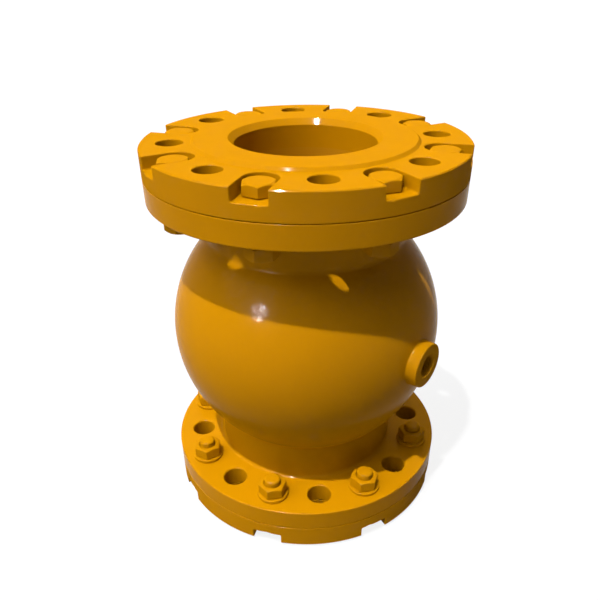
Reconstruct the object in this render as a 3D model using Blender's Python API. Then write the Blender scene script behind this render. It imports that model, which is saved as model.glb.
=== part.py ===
"""Air-operated pinch valve, DN100, with a ball-shaped housing and notched, clamped end flanges.

Metres, +Z up along the pipe. The origin is at the centre of the lower pipe face, and +X points out
of the air port. A rubber sleeve runs through the housing. Its two ends are clamped between the end
flanges and the body flanges, and compressed air in the housing presses its middle flat: the front and
rear lips slide to the plane y = 0.
"""

import math

import bmesh
import bpy
from mathutils import Matrix

# Overall sizes
FACE_TO_FACE = 0.280
BORE_RADIUS = 0.048

# Rubber sleeve
SLEEVE_WALL = 0.008
COLLAR_WIDTH = 0.018
COLLAR_THICKNESS = 0.0077
BEAD_HEIGHT = 0.002
BEAD_WIDTH = 0.005
LIP_HALF_LENGTH = 0.070

# Housing: ball and necks, with an air space round the sleeve
GLOBE_RADIUS = 0.102
GLOBE_WALL = 0.008
NECK_AIR_SPACE = 0.007
NECK_WALL = 0.0085
SHOULDER_FILLET = 0.006
WELD_LEG = 0.003

# Air port, G 3/8
BOSS_RADIUS = 0.0165
BOSS_STAND_OUT = 0.007
PORT_RADIUS = 0.0076
PORT_MOUTH_CHAMFER = 0.001

# M12 clamp bolts, nuts and washers
BOLT_RADIUS = 0.006
BOLT_END_STAND_OUT = 0.001
HEX_ACROSS_FLATS = 0.019
HEAD_HEIGHT = 0.0075
NUT_HEIGHT = 0.009
WASHER_RADIUS = 0.012
WASHER_THICKNESS = 0.0025
HEX_CHAMFER = 0.001
BOLT_END_CHAMFER = 0.0015

# Flange plates: DN100 PN16, which makes 220 mm across, holes on a 180 mm circle
END_FLANGE_THICKNESS = 0.018
BODY_FLANGE_THICKNESS = 0.016
RAISED_FACE_HEIGHT = 0.002
RAISED_FACE_RADIUS = 0.076
MOUTH_ROUNDING = 0.004
EDGE_CHAMFER = 0.0007
WASHER_TO_NECK = 0.009
CLAMP_BOLT_TO_RIM = 0.0175
PIPE_HOLE_TO_RIM = 0.020
PIPE_HOLE_RADIUS = 0.009
STATIONS = 8

# Notches that sink the clamp bolt heads into the end flanges
NOTCH_DEPTH = 0.0085
NOTCH_SIDE_CLEARANCE = 0.0003
NOTCH_END_SHIFT = 0.0025

# Clearances
SEAT_GAP = 0.0003
BOLT_HOLE_CLEARANCE = 0.00075
THREAD_CLEARANCE = 0.00035
WASHER_BORE_CLEARANCE = 0.0006

# Facets
RING_STEPS = 40
BOSS_STEPS = 16
HOLE_STEPS = 12
THREAD_STEPS = 12
WASHER_STEPS = 10
NOTCH_END_STEPS = 7
GLOBE_QUARTER_STEPS = 5
CAVITY_QUARTER_STEPS = 4
CUTTER_OVERRUN = 0.010

# Radii worked out from the bore outwards
SLEEVE_OUTER_RADIUS = BORE_RADIUS + SLEEVE_WALL
COLLAR_RADIUS = SLEEVE_OUTER_RADIUS + COLLAR_WIDTH
BEAD_CIRCLE_RADIUS = (SLEEVE_OUTER_RADIUS + COLLAR_RADIUS) / 2
NECK_INNER_RADIUS = SLEEVE_OUTER_RADIUS + NECK_AIR_SPACE
NECK_RADIUS = NECK_INNER_RADIUS + NECK_WALL
CLAMP_CIRCLE_RADIUS = NECK_RADIUS + WASHER_TO_NECK + WASHER_RADIUS
FLANGE_RADIUS = CLAMP_CIRCLE_RADIUS + CLAMP_BOLT_TO_RIM
PIPE_CIRCLE_RADIUS = FLANGE_RADIUS - PIPE_HOLE_TO_RIM
BOSS_FACE_FROM_AXIS = GLOBE_RADIUS + BOSS_STAND_OUT
HEX_CORNER_RADIUS = HEX_ACROSS_FLATS / 2 / math.cos(math.pi / 6)
NOTCH_HALF_WIDTH = HEX_CORNER_RADIUS + NOTCH_SIDE_CLEARANCE

# Heights worked out from the middle of the valve outwards
MIDDLE = FACE_TO_FACE / 2
JOINT_PLANE = MIDDLE - RAISED_FACE_HEIGHT - END_FLANGE_THICKNESS
BODY_FLANGE_OUTER_FACE = JOINT_PLANE - SEAT_GAP
BODY_FLANGE_INNER_FACE = BODY_FLANGE_OUTER_FACE - BODY_FLANGE_THICKNESS
NECK_END = BODY_FLANGE_INNER_FACE - SEAT_GAP
RECESS_FLOOR = JOINT_PLANE - 2 * SEAT_GAP - COLLAR_THICKNESS
NOTCH_FLOOR = MIDDLE - RAISED_FACE_HEIGHT - NOTCH_DEPTH
BOLT_SEAT = NOTCH_FLOOR + SEAT_GAP
WASHER_SEAT = BODY_FLANGE_INNER_FACE - SEAT_GAP
NUT_SEAT = WASHER_SEAT - WASHER_THICKNESS - SEAT_GAP
BOLT_LENGTH = BOLT_SEAT - NUT_SEAT + NUT_HEIGHT + BOLT_END_STAND_OUT


def clear_scene():
    """Removes everything that the file opened with."""
    for thing in list(bpy.data.objects):
        bpy.data.objects.remove(thing, do_unlink=True)


def make_material(name, colour, roughness, metallic):
    """Makes one plain finish."""
    material = bpy.data.materials.new(name)
    material.use_nodes = True
    shader = material.node_tree.nodes["Principled BSDF"]
    shader.inputs["Base Color"].default_value = (*colour, 1.0)
    shader.inputs["Roughness"].default_value = roughness
    shader.inputs["Metallic"].default_value = metallic
    material.diffuse_color = (*colour, 1.0)
    return material


def mesh_from(shape, name, material):
    """Turns a bmesh into a finished mesh with outward faces, smooth but for its hard edges."""
    bmesh.ops.recalc_face_normals(shape, faces=shape.faces)
    mesh = bpy.data.meshes.new(name)
    shape.to_mesh(mesh)
    shape.free()
    mesh.shade_smooth()
    mesh.set_sharp_from_angle(angle=math.radians(30))
    mesh.materials.append(material)
    return mesh


def place(name, mesh, matrix):
    """Links an object that shows a mesh, at its place."""
    thing = bpy.data.objects.new(name, mesh)
    bpy.context.scene.collection.objects.link(thing)
    thing.matrix_world = matrix
    return thing


def cut(target, cutter):
    """Takes the cutter's shape out of the target, and keeps the cutter as a guide."""
    cutter.hide_render = True
    cutter.display_type = "WIRE"
    boolean = target.modifiers.new("cut_by_" + cutter.name, "BOOLEAN")
    boolean.operation = "DIFFERENCE"
    boolean.solver = "EXACT"
    boolean.object = cutter


def arc(centre, radius, start, end, steps):
    """Points (radius, height) along an arc of a profile, from one angle to another in degrees."""
    angles = [math.radians(start + (end - start) * i / steps) for i in range(steps + 1)]
    return [(centre[0] + radius * math.cos(a), centre[1] + radius * math.sin(a)) for a in angles]


def turned(profile, steps):
    """Spins a closed profile of (radius, height) points once round the Z axis."""
    shape = bmesh.new()
    corners = [shape.verts.new((radius, 0.0, height)) for radius, height in profile]
    sides = [shape.edges.new(pair) for pair in zip(corners, corners[1:] + corners[:1])]
    bmesh.ops.spin(
        shape,
        geom=corners + sides,
        axis=(0, 0, 1),
        cent=(0, 0, 0),
        angle=math.tau,
        steps=steps,
        use_merge=True,
    )
    bmesh.ops.remove_doubles(shape, verts=shape.verts, dist=1e-7)
    return shape


def add_prism(shape, outline, low, high):
    """Adds an outline of (x, y) points, extruded from one height to another."""
    bottom = shape.faces.new([shape.verts.new((x, y, low)) for x, y in outline])
    grown = bmesh.ops.extrude_face_region(shape, geom=[bottom])
    top = [item for item in grown["geom"] if isinstance(item, bmesh.types.BMVert)]
    bmesh.ops.translate(shape, verts=top, vec=(0, 0, high - low))


def circle(radius, steps):
    """Points of a circle about the origin, as an outline, with the first one on +X."""
    angles = [math.tau * i / steps for i in range(steps)]
    return [(radius * math.cos(a), radius * math.sin(a)) for a in angles]


def turned_outline(outline, angle):
    """Turns an outline about the origin."""
    across, up = math.cos(angle), math.sin(angle)
    return [(x * across - y * up, x * up + y * across) for x, y in outline]


def station_angle(index, between):
    """Angle of a pipe hole, or of the clamp bolt that follows it."""
    return math.tau * (index + (0.5 if between else 0.0)) / STATIONS


def round_hole(radius, distance, steps):
    """Outline of a round hole at a distance out along +X, with a flat facet across the X axis."""
    outline = turned_outline(circle(radius, steps), math.pi / steps)
    return [(x + distance, y) for x, y in outline]


def notch_outline():
    """Outline of one notch along +X: a round inner end, and straight sides that run out past the rim."""
    rim = FLANGE_RADIUS + CUTTER_OVERRUN
    end_centre = (CLAMP_CIRCLE_RADIUS - NOTCH_END_SHIFT, 0.0)
    inner_end = arc(end_centre, NOTCH_HALF_WIDTH, 90, 270, NOTCH_END_STEPS)
    return inner_end + [(rim, -NOTCH_HALF_WIDTH), (rim, NOTCH_HALF_WIDTH)]


def station_cutter(outline, between, low, high):
    """Extrudes one outline at every pipe hole, or at every clamp bolt between them."""
    shape = bmesh.new()
    for index in range(STATIONS):
        add_prism(shape, turned_outline(outline, station_angle(index, between)), low, high)
    return shape


def end_flange_profile():
    """Section of the upper end flange, with heights from the middle of the valve."""
    plate_top = JOINT_PLANE + END_FLANGE_THICKNESS
    groove_half = BEAD_WIDTH / 2 + SEAT_GAP
    groove_floor = JOINT_PLANE + BEAD_HEIGHT
    mouth = arc((BORE_RADIUS + MOUTH_ROUNDING, MIDDLE - MOUTH_ROUNDING), MOUTH_ROUNDING, 180, 90, 2)
    return [
        (BORE_RADIUS, JOINT_PLANE),
        *mouth,
        (RAISED_FACE_RADIUS, MIDDLE),
        (RAISED_FACE_RADIUS, plate_top),
        (FLANGE_RADIUS - EDGE_CHAMFER, plate_top),
        (FLANGE_RADIUS, plate_top - EDGE_CHAMFER),
        (FLANGE_RADIUS, JOINT_PLANE),
        (BEAD_CIRCLE_RADIUS + groove_half, JOINT_PLANE),
        (BEAD_CIRCLE_RADIUS + groove_half / 2, groove_floor),
        (BEAD_CIRCLE_RADIUS - groove_half / 2, groove_floor),
        (BEAD_CIRCLE_RADIUS - groove_half, JOINT_PLANE),
    ]


def body_flange_profile():
    """Section of the upper body flange: a plate with a recess for the sleeve's collar."""
    return [
        (SLEEVE_OUTER_RADIUS + SEAT_GAP, BODY_FLANGE_INNER_FACE),
        (SLEEVE_OUTER_RADIUS + SEAT_GAP, RECESS_FLOOR),
        (COLLAR_RADIUS + SEAT_GAP, RECESS_FLOOR),
        (COLLAR_RADIUS + SEAT_GAP, BODY_FLANGE_OUTER_FACE),
        (FLANGE_RADIUS, BODY_FLANGE_OUTER_FACE),
        (FLANGE_RADIUS, BODY_FLANGE_INNER_FACE + EDGE_CHAMFER),
        (FLANGE_RADIUS - EDGE_CHAMFER, BODY_FLANGE_INNER_FACE),
    ]


def shoulder(globe_radius, neck_radius, steps):
    """One side of the upper half shell, from the equator to the neck, with a fillet where they meet."""
    fillet_centre_radius = neck_radius + SHOULDER_FILLET
    centre_distance = globe_radius + SHOULDER_FILLET
    fillet_height = math.sqrt(centre_distance**2 - fillet_centre_radius**2)
    meeting = math.degrees(math.atan2(fillet_height, fillet_centre_radius))
    globe = arc((0.0, 0.0), globe_radius, 0, meeting, steps)
    foot_of_neck = (neck_radius, fillet_height)
    return globe + [foot_of_neck]


def half_shell_profile():
    """Section of the upper half shell: half the ball, its neck and a small weld fillet at the flange."""
    seam = SEAT_GAP / 2
    outer = shoulder(GLOBE_RADIUS, NECK_RADIUS, GLOBE_QUARTER_STEPS)
    outer += [(NECK_RADIUS, NECK_END - WELD_LEG), (NECK_RADIUS + WELD_LEG, NECK_END)]
    inner = shoulder(GLOBE_RADIUS - GLOBE_WALL, NECK_INNER_RADIUS, CAVITY_QUARTER_STEPS)
    inner += [(NECK_INNER_RADIUS, NECK_END)]
    outer[0] = (GLOBE_RADIUS, seam)
    inner[0] = (GLOBE_RADIUS - GLOBE_WALL, seam)
    return outer + list(reversed(inner))


def boss_profile():
    """Section of the air port boss, with its length along Z, before the ball is cut from its foot."""
    foot = GLOBE_RADIUS - GLOBE_WALL
    edge = EDGE_CHAMFER
    return [
        (PORT_RADIUS, foot),
        (PORT_RADIUS, BOSS_FACE_FROM_AXIS - PORT_MOUTH_CHAMFER),
        (PORT_RADIUS + PORT_MOUTH_CHAMFER, BOSS_FACE_FROM_AXIS),
        (BOSS_RADIUS - edge, BOSS_FACE_FROM_AXIS),
        (BOSS_RADIUS, BOSS_FACE_FROM_AXIS - edge),
        (BOSS_RADIUS, foot),
    ]


def sleeve_end_profile():
    """Section of the sleeve's upper end: a beaded collar on a tube that reaches down to the lips."""
    top = JOINT_PLANE - SEAT_GAP
    bead_top = top + BEAD_HEIGHT
    half = BEAD_WIDTH / 2
    return [
        (BORE_RADIUS, LIP_HALF_LENGTH + SEAT_GAP),
        (BORE_RADIUS, top),
        (BEAD_CIRCLE_RADIUS - half, top),
        (BEAD_CIRCLE_RADIUS - half / 2, bead_top),
        (BEAD_CIRCLE_RADIUS + half / 2, bead_top),
        (BEAD_CIRCLE_RADIUS + half, top),
        (COLLAR_RADIUS, top),
        (COLLAR_RADIUS, top - COLLAR_THICKNESS),
        (SLEEVE_OUTER_RADIUS, top - COLLAR_THICKNESS),
        (SLEEVE_OUTER_RADIUS, LIP_HALF_LENGTH + SEAT_GAP),
    ]


def lip_outline():
    """End view of the rear lip: just under half of the sleeve's ring."""
    inner_start = math.degrees(math.asin(SEAT_GAP / 2 / BORE_RADIUS))
    outer_start = math.degrees(math.asin(SEAT_GAP / 2 / SLEEVE_OUTER_RADIUS))
    outer = arc((0.0, 0.0), SLEEVE_OUTER_RADIUS, outer_start, 180 - outer_start, RING_STEPS // 2)
    inner = arc((0.0, 0.0), BORE_RADIUS, 180 - inner_start, inner_start, RING_STEPS // 2)
    return outer + inner


def hexagon(corner_radius):
    """Points of a hexagon with a corner on +X."""
    return circle(corner_radius, 6)


def ring_of(shape, outline, height):
    """Adds a loop of points at one height and returns them in order."""
    return [shape.verts.new((x, y, height)) for x, y in outline]


def join_rings(shape, first, second):
    """Joins two rings of points, one of which has a whole multiple of the other's number of points."""
    few, many = sorted((first, second), key=len)
    share = len(many) // len(few)
    for index, corner in enumerate(few):
        following = few[(index + 1) % len(few)]
        stretch = [many[(index * share + k) % len(many)] for k in range(share, -1, -1)]
        shape.faces.new([corner, following] + stretch)


def bolt_shape():
    """Hex bolt with its seat at z = 0 and its shank down -Z, through its nut."""
    shape = bmesh.new()
    crown = ring_of(shape, hexagon(HEX_CORNER_RADIUS - HEX_CHAMFER), HEAD_HEIGHT)
    top = ring_of(shape, hexagon(HEX_CORNER_RADIUS), HEAD_HEIGHT - HEX_CHAMFER / 2)
    seat = ring_of(shape, hexagon(HEX_CORNER_RADIUS), 0.0)
    round_outline = circle(BOLT_RADIUS, THREAD_STEPS)
    tip_outline = circle(BOLT_RADIUS - BOLT_END_CHAMFER, THREAD_STEPS)
    root = ring_of(shape, round_outline, 0.0)
    end = ring_of(shape, round_outline, BOLT_END_CHAMFER - BOLT_LENGTH)
    tip = ring_of(shape, tip_outline, -BOLT_LENGTH)
    shape.faces.new(crown)
    shape.faces.new(tip)
    loops = [crown, top, seat, root, end, tip]
    for first, second in zip(loops, loops[1:]):
        join_rings(shape, first, second)
    return shape


def nut_shape():
    """Hex nut with its seat at z = 0 and its chamfered end down -Z."""
    shape = bmesh.new()
    bore = circle(BOLT_RADIUS + THREAD_CLEARANCE, THREAD_STEPS)
    loops = [
        ring_of(shape, bore, 0.0),
        ring_of(shape, hexagon(HEX_CORNER_RADIUS), 0.0),
        ring_of(shape, hexagon(HEX_CORNER_RADIUS), HEX_CHAMFER / 2 - NUT_HEIGHT),
        ring_of(shape, hexagon(HEX_CORNER_RADIUS - HEX_CHAMFER), -NUT_HEIGHT),
        ring_of(shape, bore, -NUT_HEIGHT),
    ]
    for first, second in zip(loops, loops[1:] + loops[:1]):
        join_rings(shape, first, second)
    return shape


def washer_shape():
    """Flat washer with its seat at z = 0, down -Z."""
    inner = BOLT_RADIUS + WASHER_BORE_CLEARANCE
    profile = [
        (inner, -WASHER_THICKNESS),
        (WASHER_RADIUS, -WASHER_THICKNESS),
        (WASHER_RADIUS, 0.0),
        (inner, 0.0),
    ]
    return turned(profile, WASHER_STEPS)


def lift():
    """Matrix that carries a shape drawn about the middle of the valve to its place in the upper half."""
    return Matrix.Translation((0.0, 0.0, MIDDLE))


def lower_half():
    """The same for the lower half: turned over about the X axis, so that the stations stay in line."""
    return lift() @ Matrix.Rotation(math.pi, 4, "X")


def build_plates(paint):
    """Makes the body flanges and the end flanges, with their holes and notches."""
    beyond = MIDDLE + CUTTER_OVERRUN
    pipe_hole = round_hole(PIPE_HOLE_RADIUS, PIPE_CIRCLE_RADIUS, HOLE_STEPS)
    bolt_hole = round_hole(BOLT_RADIUS + BOLT_HOLE_CLEARANCE, CLAMP_CIRCLE_RADIUS, THREAD_STEPS)
    pipe_holes = mesh_from(station_cutter(pipe_hole, False, -beyond, beyond), "pipe_holes", paint)
    bolt_holes = mesh_from(station_cutter(bolt_hole, True, -beyond, beyond), "bolt_holes", paint)
    notches = mesh_from(station_cutter(notch_outline(), True, NOTCH_FLOOR, beyond), "notches", paint)
    end_flange = mesh_from(turned(end_flange_profile(), RING_STEPS), "end_flange", paint)
    body_flange = mesh_from(turned(body_flange_profile(), RING_STEPS), "body_flange", paint)
    pipe_guide = place("pipe_hole_cutter", pipe_holes, lift())
    bolt_guide = place("bolt_hole_cutter", bolt_holes, lift())
    for side, matrix in (("upper", lift()), ("lower", lower_half())):
        notch_guide = place(side + "_notch_cutter", notches, matrix)
        outer = place(side + "_end_flange", end_flange, matrix)
        inner = place(side + "_body_flange", body_flange, matrix)
        for plate in (outer, inner):
            cut(plate, pipe_guide)
            cut(plate, bolt_guide)
        cut(outer, notch_guide)


def solid_ball_profile():
    """Section of a ball one gap larger than the shell's outside, with a hole along its axis."""
    pole_hole = NECK_RADIUS / 2
    radius = GLOBE_RADIUS + SEAT_GAP
    pole_angle = math.degrees(math.acos(pole_hole / radius))
    return arc((0.0, 0.0), radius, -pole_angle, pole_angle, RING_STEPS // 2)


def build_housing(paint):
    """Makes the two half shells and the air port boss over the seam between them."""
    towards_port = lift() @ Matrix.Rotation(math.pi / 2, 4, "Y")
    half_shell = mesh_from(turned(half_shell_profile(), RING_STEPS), "half_shell", paint)
    drill = bmesh.new()
    add_prism(drill, circle(PORT_RADIUS, BOSS_STEPS), GLOBE_RADIUS / 2, GLOBE_RADIUS + CUTTER_OVERRUN)
    port_drill = place("port_drill", mesh_from(drill, "port_drill", paint), towards_port)
    cut(place("upper_half_shell", half_shell, lift()), port_drill)
    cut(place("lower_half_shell", half_shell, lower_half()), port_drill)
    boss_mesh = mesh_from(turned(boss_profile(), BOSS_STEPS), "air_port_boss", paint)
    boss = place("air_port_boss", boss_mesh, towards_port)
    ball = mesh_from(turned(solid_ball_profile(), RING_STEPS), "ball_cutter", paint)
    cut(boss, place("ball_cutter", ball, lift()))


def build_sleeve(rubber):
    """Makes the sleeve's two clamped ends and its two lips."""
    sleeve_end = mesh_from(turned(sleeve_end_profile(), RING_STEPS), "sleeve_end", rubber)
    place("sleeve_upper_end", sleeve_end, lift())
    place("sleeve_lower_end", sleeve_end, lower_half())
    shape = bmesh.new()
    add_prism(shape, lip_outline(), -LIP_HALF_LENGTH, LIP_HALF_LENGTH)
    lip = mesh_from(shape, "sleeve_lip", rubber)
    place("sleeve_rear_lip", lip, lift())
    place("sleeve_front_lip", lip, lift() @ Matrix.Rotation(math.pi, 4, "Z"))


def build_fasteners(paint):
    """Makes a bolt, a washer and a nut at each clamp station of both ends."""
    bolt = mesh_from(bolt_shape(), "clamp_bolt", paint)
    washer = mesh_from(washer_shape(), "clamp_washer", paint)
    nut = mesh_from(nut_shape(), "clamp_nut", paint)
    seats = (
        ("clamp_bolt", bolt, BOLT_SEAT),
        ("clamp_washer", washer, WASHER_SEAT),
        ("clamp_nut", nut, NUT_SEAT),
    )
    for side, half in (("upper", lift()), ("lower", lower_half())):
        for index in range(STATIONS):
            turn = Matrix.Rotation(station_angle(index, True), 4, "Z")
            for name, mesh, height in seats:
                seat = turn @ Matrix.Translation((CLAMP_CIRCLE_RADIUS, 0.0, height))
                place(f"{side}_{name}_{index + 1}", mesh, half @ seat)


def main():
    """Builds the whole valve."""
    clear_scene()
    paint = make_material("orange_paint", (0.78, 0.34, 0.012), 0.32, 0.0)
    rubber = make_material("black_rubber", (0.025, 0.025, 0.025), 0.75, 0.0)
    build_housing(paint)
    build_plates(paint)
    build_sleeve(rubber)
    build_fasteners(paint)


main()
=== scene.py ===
"""Looks of the air-operated pinch valve: enamel paint, softened edges, clamp fasteners and rubber sleeve.

Metres, +Z up along the pipe. The origin is at the centre of the lower pipe face. +X points out of the air port.
"""

import logging
import math
from collections.abc import Iterable
from dataclasses import dataclass
from enum import Enum
from functools import cache

import bmesh
import bpy
from mathutils import Matrix, Vector


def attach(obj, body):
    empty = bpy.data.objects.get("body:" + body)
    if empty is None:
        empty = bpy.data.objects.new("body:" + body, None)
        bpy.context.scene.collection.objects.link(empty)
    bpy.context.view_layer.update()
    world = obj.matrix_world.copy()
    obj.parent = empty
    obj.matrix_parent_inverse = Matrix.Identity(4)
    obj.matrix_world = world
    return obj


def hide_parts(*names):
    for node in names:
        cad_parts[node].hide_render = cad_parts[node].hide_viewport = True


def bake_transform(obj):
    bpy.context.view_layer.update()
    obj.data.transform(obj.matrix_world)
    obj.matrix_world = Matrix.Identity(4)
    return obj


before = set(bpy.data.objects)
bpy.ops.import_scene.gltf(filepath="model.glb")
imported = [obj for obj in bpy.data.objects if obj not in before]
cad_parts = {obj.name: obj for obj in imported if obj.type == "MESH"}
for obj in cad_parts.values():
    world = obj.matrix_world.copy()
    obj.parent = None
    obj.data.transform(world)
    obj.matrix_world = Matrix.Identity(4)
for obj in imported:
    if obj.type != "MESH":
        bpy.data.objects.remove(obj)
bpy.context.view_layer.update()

LOG = logging.getLogger("pinch_valve")

Point = tuple[float, float]
Spot = tuple[float, float, float]

MIDDLE = 0.140
STATIONS = 8
MILLIMETRE = 0.001

# A step small enough to be unseen, which keeps faces of cutters and pieces from meeting.
SKIM = 0.0001

# Turns at which the points of a rounded edge lie, in degrees. The last one is the steepest that is drawn.
EDGE_TURNS = (0.0, 20.0, 40.0, 60.0, 80.0)

# Sockets of a Mix node that mixes colours.
MIX_SHARE, MIX_FIRST, MIX_SECOND, MIX_RESULT = 0, 6, 7, 2

# How far the heads and nuts nearest to the viewer are turned in the photograph, in degrees.
SEEN_TURNS = {
    "upper_clamp_bolt_6": 6.0,
    "upper_clamp_bolt_7": 16.0,
    "upper_clamp_bolt_8": 21.0,
    "lower_clamp_nut_1": 12.0,
    "lower_clamp_nut_2": -3.0,
    "lower_clamp_nut_3": 4.0,
    "lower_clamp_nut_8": 5.0,
}


class End(Enum):
    """The two ends of the valve, with the matrix that carries a shape drawn about its middle to each."""

    UPPER = "upper"
    LOWER = "lower"

    @property
    def matrix(self) -> Matrix:
        """Lift to the middle, and for the lower end also half a turn about the X axis."""
        lift = Matrix.Translation((0.0, 0.0, MIDDLE))
        return lift if self is End.UPPER else lift @ Matrix.Rotation(math.pi, 4, "X")


class Slot(Enum):
    """Material slots of the record."""

    BODY = "body_paint"
    FASTENER = "fastener_paint"
    RUBBER = "sleeve_rubber"


class Shine(Enum):
    """Whether a lamp gives plain light, and whether it shows as a glint in the gloss."""

    BOTH = (True, True)
    GLINT = (False, True)
    PLAIN = (True, False)


@dataclass(frozen=True)
class Corner:
    """One corner of a profile, and the radius that it is rounded to."""

    across: float
    height: float
    rounding: float = 0.0


def arc(centre: Point, radius: float, start: float, end: float, steps: int) -> list[Point]:
    """Points along an arc.

    Args:
        centre: The arc's centre.
        radius: Its radius.
        start: First angle in degrees.
        end: Last angle in degrees.
        steps: Number of stretches between them.

    Returns:
        The points, both ends included.
    """
    angles = [math.radians(start + (end - start) * index / steps) for index in range(steps + 1)]
    return [(centre[0] + radius * math.cos(a), centre[1] + radius * math.sin(a)) for a in angles]


def full_turn(steps: int) -> list[float]:
    """Angles in radians that lie evenly once round the Z axis."""
    return [math.tau * index / steps for index in range(steps)]


def around(radius: float, height: float, angles: Iterable[float]) -> list[Spot]:
    """Points at one height and one distance from the Z axis.

    Args:
        radius: Their distance from the axis.
        height: Their height.
        angles: Their directions in radians.

    Returns:
        The points.
    """
    return [(radius * math.cos(a), radius * math.sin(a), height) for a in angles]


def depth_at(radius: float, turned: float) -> float:
    """Depth inside the corner at which a rounding of some radius has turned by an angle in degrees."""
    return radius * (1 - math.sin(math.radians(turned)))


def rounded(corners: list[Corner], fineness: float = 13.0) -> list[Point]:
    """Rounds the corners of a closed profile.

    Args:
        corners: The corners in order.
        fineness: Largest turn of one stretch of a rounding, in degrees.

    Returns:
        The points of the rounded profile.
    """
    points: list[Point] = []
    for index, corner in enumerate(corners):
        here = Vector((corner.across, corner.height))
        if corner.rounding == 0.0:
            points.append((here.x, here.y))
            continue
        before = corners[index - 1]
        after = corners[(index + 1) % len(corners)]
        back = (Vector((before.across, before.height)) - here).normalized()
        ahead = (Vector((after.across, after.height)) - here).normalized()
        half = back.angle(ahead) / 2
        centre = here + (back + ahead).normalized() * (corner.rounding / math.sin(half))
        reach = corner.rounding / math.tan(half)
        first = here + back * reach - centre
        last = here + ahead * reach - centre
        sweep = math.degrees(math.pi - 2 * half)
        sign = 1.0 if first.x * last.y - first.y * last.x > 0 else -1.0
        steps = max(2, math.ceil(sweep / fineness))
        start = math.degrees(math.atan2(first.y, first.x))
        points += arc((centre.x, centre.y), corner.rounding, start, start + sign * sweep, steps)
    return points


def round_over(inside: float, radius: float) -> float:
    """How far a rounded edge falls away at a distance inside the corner, carried on straight past the edge.

    Args:
        inside: Distance from the corner's other face, negative outside it.
        radius: Radius of the rounding.

    Returns:
        The fall, which is zero further in than the radius.
    """
    steepest = math.radians(EDGE_TURNS[-1])
    nearest = depth_at(radius, EDGE_TURNS[-1])
    if inside >= radius:
        return 0.0
    if inside >= nearest:
        return radius - math.sqrt(radius**2 - (radius - inside) ** 2)
    return radius * (1 - math.cos(steepest)) + (nearest - inside) * math.tan(steepest)


class Shape:
    """Points and faces of one mesh while it is being built."""

    def __init__(self) -> None:
        """Starts empty."""
        self.spots: list[Spot] = []
        self.faces: list[list[int]] = []

    def ring(self, spots: Iterable[Spot], place: Matrix | None = None) -> list[int]:
        """Adds a row of points.

        Args:
            spots: The points in order.
            place: Matrix that carries them to their place.

        Returns:
            Their numbers.
        """
        start = len(self.spots)
        self.spots.extend(tuple(place @ Vector(spot)) if place else spot for spot in spots)
        return list(range(start, len(self.spots)))

    def bridge(self, rows: list[list[int]], closed: bool = True) -> None:
        """Joins each row of points to the next one with four-sided faces.

        Args:
            rows: The rows, all of the same length.
            closed: Whether they run all the way round.
        """
        for first, second in zip(rows, rows[1:]):
            for index in range(len(first) if closed else len(first) - 1):
                following = (index + 1) % len(first)
                self.faces.append([first[index], first[following], second[following], second[index]])

    def cap(self, ring: list[int]) -> None:
        """Closes a row of points with one face."""
        self.faces.append(list(ring))

    def turn(self, profile: list[Point], steps: int, axis: Matrix | None = None, closed: bool = True) -> None:
        """Turns a profile once round an axis.

        Args:
            profile: Points (radius, height).
            steps: Facets all the way round.
            axis: Matrix that carries the Z axis to the axis of the turning.
            closed: Whether the profile's last point joins its first.
        """
        angles = full_turn(steps)
        place = axis or Matrix.Identity(4)
        rings = [self.ring(around(radius, height, angles), place) for radius, height in profile]
        self.bridge(rings + rings[:1] if closed else rings)
        if not closed:
            self.cap(rings[0])
            self.cap(rings[-1])

    def to_object(self, name: str, matrix: Matrix | None = None) -> bpy.types.Object:
        """Makes an object, with its place in its mesh.

        Args:
            name: The object's name.
            matrix: Where the shape goes.

        Returns:
            The object, linked to the scene.
        """
        mesh = bpy.data.meshes.new(name)
        mesh.from_pydata(self.spots, [], self.faces)
        work = bmesh.new()
        work.from_mesh(mesh)
        bmesh.ops.recalc_face_normals(work, faces=work.faces)
        work.to_mesh(mesh)
        work.free()
        mesh.transform(matrix or Matrix.Identity(4))
        thing = bpy.data.objects.new(name, mesh)
        bpy.context.scene.collection.objects.link(thing)
        return thing


def carve(target: bpy.types.Object, cutters: list[bpy.types.Object]) -> None:
    """Takes the cutters' shapes out of a piece and removes the cutters.

    Args:
        target: The piece.
        cutters: Closed shapes.
    """
    for cutter in cutters:
        boolean = target.modifiers.new(cutter.name, "BOOLEAN")
        boolean.operation = "DIFFERENCE"
        boolean.solver = "EXACT"
        boolean.object = cutter
    evaluated = target.evaluated_get(bpy.context.evaluated_depsgraph_get())
    carved = bpy.data.meshes.new_from_object(evaluated)
    carved.name = target.name
    target.modifiers.clear()
    target.data = carved
    for cutter in cutters:
        bpy.data.objects.remove(cutter, do_unlink=True)


def smooth(piece: bpy.types.Object, crease: float = 40.0) -> None:
    """Shades a piece smooth, with its flat faces kept flat and its sharp edges kept sharp.

    Args:
        piece: The piece.
        crease: Angle from which an edge stays sharp, in degrees.
    """
    piece.data.shade_smooth()
    piece.data.set_sharp_from_angle(angle=math.radians(crease))
    weighted = piece.modifiers.new("flat_faces_first", "WEIGHTED_NORMAL")
    weighted.keep_sharp = True


def dress(piece: bpy.types.Object, finish: bpy.types.Material, nodes: list[str]) -> None:
    """Smooths a piece that rides on the valve body, and gives it its finish and its place in the frame.

    Args:
        piece: The piece.
        finish: Its material.
        nodes: CAD nodes that it stands for.
    """
    smooth(piece)
    piece.data.materials.clear()
    piece.data.materials.append(finish)
    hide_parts(*nodes)
    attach(piece, "valve_body")
    LOG.info("%s stands for %s", piece.name, ", ".join(nodes))


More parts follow.
